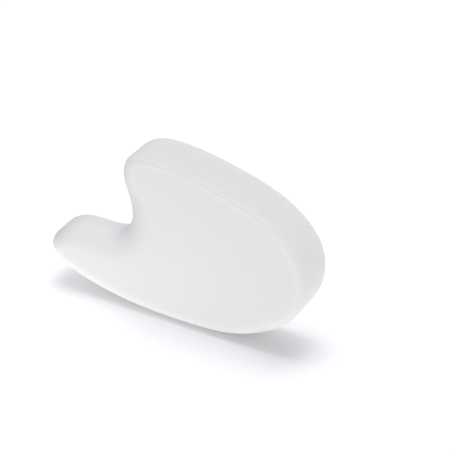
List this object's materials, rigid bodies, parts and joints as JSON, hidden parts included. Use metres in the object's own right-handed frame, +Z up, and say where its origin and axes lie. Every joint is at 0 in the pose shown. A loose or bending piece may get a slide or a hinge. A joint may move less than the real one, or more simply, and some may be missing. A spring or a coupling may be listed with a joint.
{
  "type": "toe separator",
  "caption": "Soft milky gel slab that stands on its rim and holds two toes apart: a big round end, two horns with a rounded notch between them, and two flat sides.",
  "frame": {"origin": "bottom centre of the bounding box, on the surface that the lower rim stands on", "axes": "+X along the length, towards the big round nose, with the two horns at -X; -Y and +Y out of the two flat sides; +Z up, with the upper horn above the lower one"},
  "size_m": [0.04, 0.0074, 0.025],
  "materials": {
    "milky_gel": "frosted, translucent milky white"
  },
  "bodies": {
    "root": {"gel_body": "milky_gel"}
  },
  "joints": []
}
